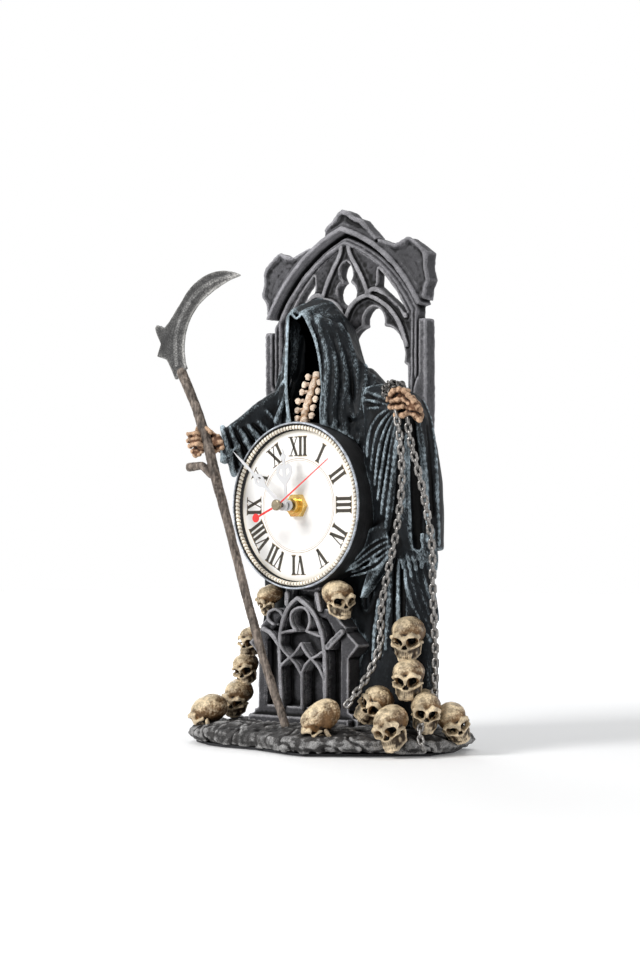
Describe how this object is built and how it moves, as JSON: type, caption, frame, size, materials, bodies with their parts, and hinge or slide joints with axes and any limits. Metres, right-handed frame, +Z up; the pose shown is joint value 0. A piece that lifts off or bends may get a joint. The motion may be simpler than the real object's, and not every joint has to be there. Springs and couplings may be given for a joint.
{
  "type": "mantel clock",
  "caption": "Resin table clock: a hooded robed reaper with scythe and chains behind a round roman dial, before a pierced gothic arch on a rock base piled with skulls.",
  "frame": {"origin": "underside of the felt base, on the arch's plane of symmetry, below the dial's axis", "axes": "+Z up, -Y to the front of the dial, +X to the right as seen from the front"},
  "size_m": [0.1941, 0.1005, 0.2997],
  "materials": {
    "felt": "dark wool felt",
    "rock_resin": "matte cold-cast resin, dark grey rock with lighter dry-brushed edges",
    "masonry_resin": "matte cold-cast resin, charcoal grey with lavender-grey dry-brushed edges",
    "cloth_resin": "matte cold-cast resin, near black with teal-blue highlights on the folds",
    "bone_resin": "matte cold-cast resin, tan bone with dark brown wash",
    "skull_resin": "matte cold-cast resin, ivory to ochre with dark brown wash",
    "wood_resin": "matte cold-cast resin, brown-bronze rough wood",
    "pewter_resin": "satin cold-cast resin, brushed pewter colour",
    "chain_metal": "antique silver chain",
    "drum_resin": "satin cold-cast resin, near-black drum with a thin light rim",
    "bead_metal": "pale gold and silver bead trim",
    "dial_print": "white dial sheet with black roman numerals",
    "hand_white": "white lacquered stamped metal",
    "hand_red": "red lacquered stamped metal",
    "brass": "turned brass",
    "case_plastic": "black moulded case",
    "gear_plastic": "natural moulded plastic",
    "rubber": "black rubber washer",
    "copper": "enamelled copper winding",
    "plated_steel": "plated steel strip",
    "board": "green circuit board",
    "cell": "plain wrapped dry cell"
  },
  "bodies": {
    "clock_body": {"felt_base": "felt", "rock_base": "rock_resin", "plinth": "masonry_resin", "plinth_tracery": "masonry_resin", "arch_frame": "masonry_resin", "arch_tracery": "masonry_resin", "hood_mould": "masonry_resin", "finial": "masonry_resin", "crockets": "masonry_resin", "robe": "cloth_resin", "hood": "cloth_resin", "right_sleeve": "cloth_resin", "left_sleeve": "cloth_resin", "breastbone": "bone_resin", "right_hand": "bone_resin", "left_hand": "bone_resin", "scythe_pole": "wood_resin", "scythe_blade": "pewter_resin", "blade_rivet": "pewter_resin", "front_chain": "chain_metal", "side_chain": "chain_metal", "drum": "drum_resin", "bead_ring": "bead_metal", "dial": "dial_print", "movement_case": "case_plastic", "movement_cover": "case_plastic", "rubber_washer": "rubber", "threaded_bush": "brass", "hex_nut": "brass", "coil": "copper", "stator": "plated_steel", "circuit_board": "board", "battery_contacts": "plated_steel", "skull_01": "skull_resin", "skull_02": "skull_resin", "skull_03": "skull_resin", "skull_04": "skull_resin", "skull_05": "skull_resin", "skull_06": "skull_resin", "skull_07": "skull_resin", "skull_08": "skull_resin", "skull_09": "skull_resin", "skull_10": "skull_resin", "skull_11": "skull_resin", "skull_12": "skull_resin", "skull_13": "skull_resin", "skull_14": "skull_resin"},
    "second_group": {"fourth_wheel": "gear_plastic", "second_hand": "hand_red"},
    "rotor_group": {"rotor": "gear_plastic"},
    "fifth_group": {"fifth_wheel": "gear_plastic"},
    "third_group": {"third_wheel": "gear_plastic"},
    "centre_group": {"centre_wheel": "gear_plastic"},
    "minute_group": {"cannon_pinion": "gear_plastic", "minute_hand": "hand_white"},
    "setting_group": {"minute_wheel": "gear_plastic", "set_knob": "gear_plastic"},
    "hour_group": {"hour_wheel": "gear_plastic", "hour_hand": "hand_white"},
    "battery_cell": {"battery": "cell"}
  },
  "joints": [
    {"name": "second_hand_spin", "type": "hinge", "parent": "clock_body", "child": "second_group", "pos_m": [0, 0, 0.132], "axis": [0, 1, 0], "continuous": true},
    {"name": "minute_hand_spin", "type": "hinge", "parent": "clock_body", "child": "minute_group", "pos_m": [0, 0, 0.132], "axis": [0, 1, 0], "continuous": true},
    {"name": "fifth_wheel_spin", "type": "hinge", "parent": "clock_body", "child": "fifth_group", "pos_m": [0.0063, 0, 0.13951], "axis": [0, 1, 0], "continuous": true},
    {"name": "rotor_spin", "type": "hinge", "parent": "clock_body", "child": "rotor_group", "pos_m": [0.01054, 0, 0.14456], "axis": [0, 1, 0], "continuous": true},
    {"name": "third_wheel_spin", "type": "hinge", "parent": "clock_body", "child": "third_group", "pos_m": [-0.00795, 0, 0.13659], "axis": [0, 1, 0], "continuous": true},
    {"name": "centre_wheel_spin", "type": "hinge", "parent": "clock_body", "child": "centre_group", "pos_m": [0, 0, 0.132], "axis": [0, 1, 0], "continuous": true},
    {"name": "setting_knob_spin", "type": "hinge", "parent": "clock_body", "child": "setting_group", "pos_m": [0.00945, 0, 0.13033], "axis": [0, 1, 0], "continuous": true},
    {"name": "hour_hand_spin", "type": "hinge", "parent": "clock_body", "child": "hour_group", "pos_m": [0, 0, 0.132], "axis": [0, 1, 0], "continuous": true},
    {"name": "battery_slide", "type": "slide", "parent": "clock_body", "child": "battery_cell", "axis": [0, 1, 0], "range_m": [0, 0.035]}
  ],
  "couplings": [
    {"joint": "fifth_wheel_spin", "follows": "second_hand_spin", "ratio": -6},
    {"joint": "rotor_spin", "follows": "second_hand_spin", "ratio": 30},
    {"joint": "third_wheel_spin", "follows": "second_hand_spin", "ratio": -0.13333},
    {"joint": "centre_wheel_spin", "follows": "second_hand_spin", "ratio": 0.016667},
    {"joint": "setting_knob_spin", "follows": "minute_hand_spin", "ratio": -0.33333},
    {"joint": "hour_hand_spin", "follows": "minute_hand_spin", "ratio": 0.083333}
  ]
}
